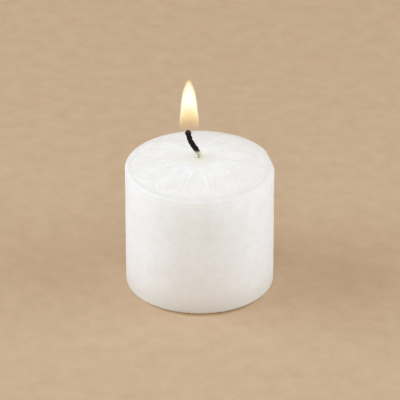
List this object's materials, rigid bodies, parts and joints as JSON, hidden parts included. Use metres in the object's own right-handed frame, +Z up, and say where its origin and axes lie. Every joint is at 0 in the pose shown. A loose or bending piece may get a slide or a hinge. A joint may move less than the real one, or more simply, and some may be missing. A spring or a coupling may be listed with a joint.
{
  "type": "votive candle",
  "caption": "Short pressed-wax votive candle with a low domed top, petal relief, braided wick, hidden wick sustainer and lit flame.",
  "frame": {"origin": "centre of the base plane that the candle stands on", "axes": "+Z up along the candle's axis, front towards -Y, wick curls towards -X"},
  "size_m": [0.038, 0.038, 0.0572],
  "materials": {
    "wax": "white pressed paraffin wax, softly translucent, fine granular surface",
    "wick_cotton": "braided cotton, waxed and pale at the foot, charred black above",
    "tinned_steel": "thin stamped tinned steel",
    "flame_glow": "luminous flame, white at the heart, clear at the foot"
  },
  "bodies": {
    "root": {"wax_body": "wax", "wick": "wick_cotton", "wick_sustainer": "tinned_steel", "flame": "flame_glow"}
  },
  "joints": []
}
